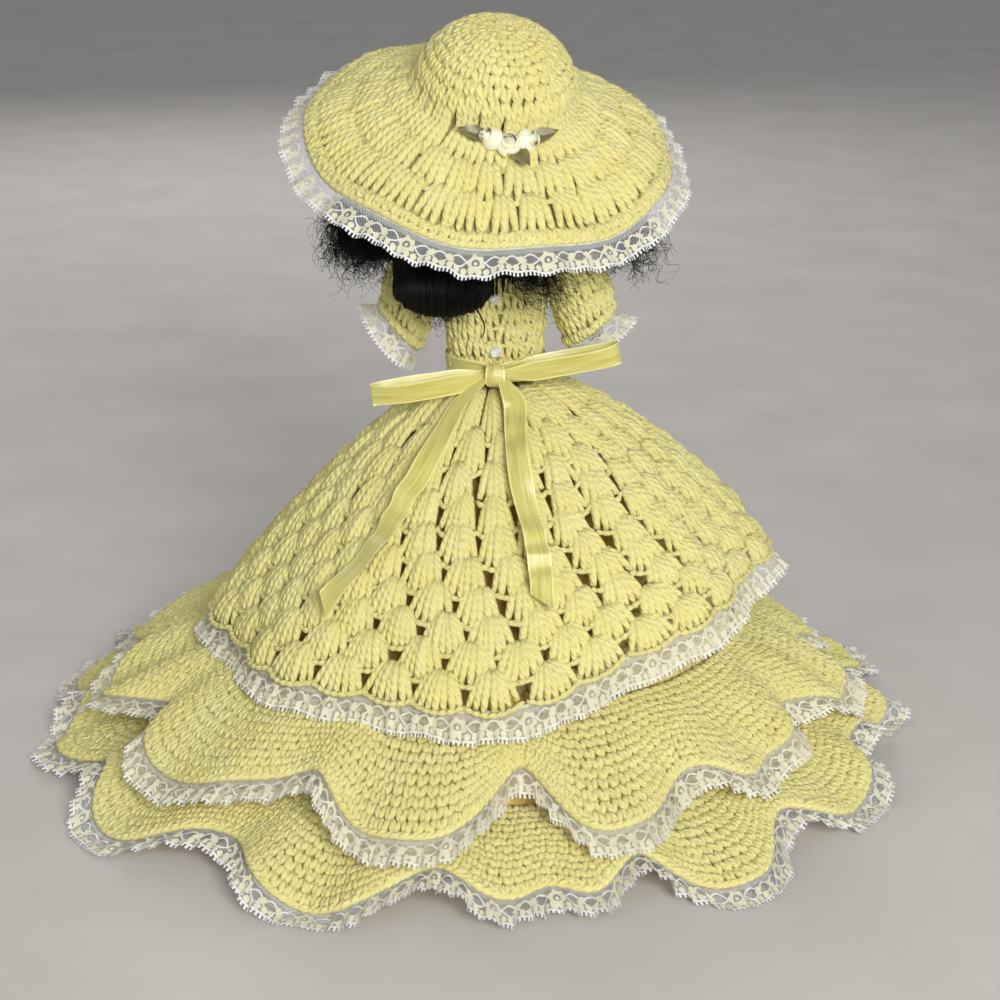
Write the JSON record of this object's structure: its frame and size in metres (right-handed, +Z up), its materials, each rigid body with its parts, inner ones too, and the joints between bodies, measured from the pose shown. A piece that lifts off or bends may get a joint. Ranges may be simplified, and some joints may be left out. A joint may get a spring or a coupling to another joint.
{
  "type": "crochet doll",
  "caption": "Fashion doll with jointed limbs in a crocheted ball gown with lace-edged ruffles, ribbon bow and a lift-off wide-brimmed crocheted hat.",
  "frame": {"origin": "middle of the gown's footprint, at the level of the surface it stands on", "axes": "+Z up, the doll faces -Y, its left hand is on +X"},
  "size_m": [0.4104, 0.4054, 0.3266],
  "materials": {
    "skin": "soft vinyl skin",
    "hair": "black synthetic fibre hair",
    "yarn": "pale yellow acrylic crochet yarn",
    "lace": "white and cream gathered lace edging",
    "satin": "yellow satin ribbon",
    "rose": "cream satin",
    "leaf": "olive green ribbon",
    "button": "clear faceted plastic"
  },
  "bodies": {
    "body": {"doll_torso": "skin", "bodice": "yarn", "underskirt": "yarn", "overskirt": "yarn", "overskirt_lace": "lace", "ruffle_middle": "yarn", "ruffle_middle_lace": "lace", "ruffle_lower": "yarn", "ruffle_lower_lace": "lace", "sash_band": "satin", "bow_knot": "satin", "bow_loop_left": "satin", "bow_loop_right": "satin", "ribbon_tail_left": "satin", "ribbon_tail_right": "satin", "back_button_top": "button", "back_button_lower": "button"},
    "head": {"doll_head": "skin", "hair_cap": "hair", "hair_roll": "hair", "hair_curls_left": "hair", "hair_curls_right": "hair"},
    "hat": {"hat": "yarn", "hat_lace": "lace", "rosebud_1": "rose", "rosebud_2": "rose", "rosebud_3": "rose", "rose_leaf_1": "leaf", "rose_leaf_2": "leaf", "rose_leaf_3": "leaf"},
    "left_arm": {"doll_arm_left": "skin", "sleeve_left": "yarn", "sleeve_lace_left": "lace"},
    "right_arm": {"doll_arm_right": "skin", "sleeve_right": "yarn", "sleeve_lace_right": "lace"},
    "left_leg": {"doll_leg_left": "skin"},
    "right_leg": {"doll_leg_right": "skin"}
  },
  "joints": [
    {"name": "neck_turn", "type": "hinge", "parent": "body", "child": "head", "pos_m": [-0.0099, 0.00572, 0.25476], "axis": [0, 0, 1], "range_deg": [-20, 20]},
    {"name": "hat_lift", "type": "slide", "parent": "head", "child": "hat", "axis": [-0.121, 0.3746, 0.9192], "range_m": [0, 0.06]},
    {"name": "shoulder_left", "type": "hinge", "parent": "body", "child": "left_arm", "pos_m": [0.0079, 0.00572, 0.229], "axis": [1, 0, 0], "range_deg": [-80, 4]},
    {"name": "shoulder_right", "type": "hinge", "parent": "body", "child": "right_arm", "pos_m": [-0.0277, 0.00572, 0.229], "axis": [1, 0, 0], "range_deg": [-80, 4]},
    {"name": "hip_left", "type": "hinge", "parent": "body", "child": "left_leg", "pos_m": [0.0011, 0.00572, 0.148], "axis": [1, 0, 0], "range_deg": [-32, 30]},
    {"name": "hip_right", "type": "hinge", "parent": "body", "child": "right_leg", "pos_m": [-0.0209, 0.00572, 0.148], "axis": [1, 0, 0], "range_deg": [-32, 30]}
  ]
}
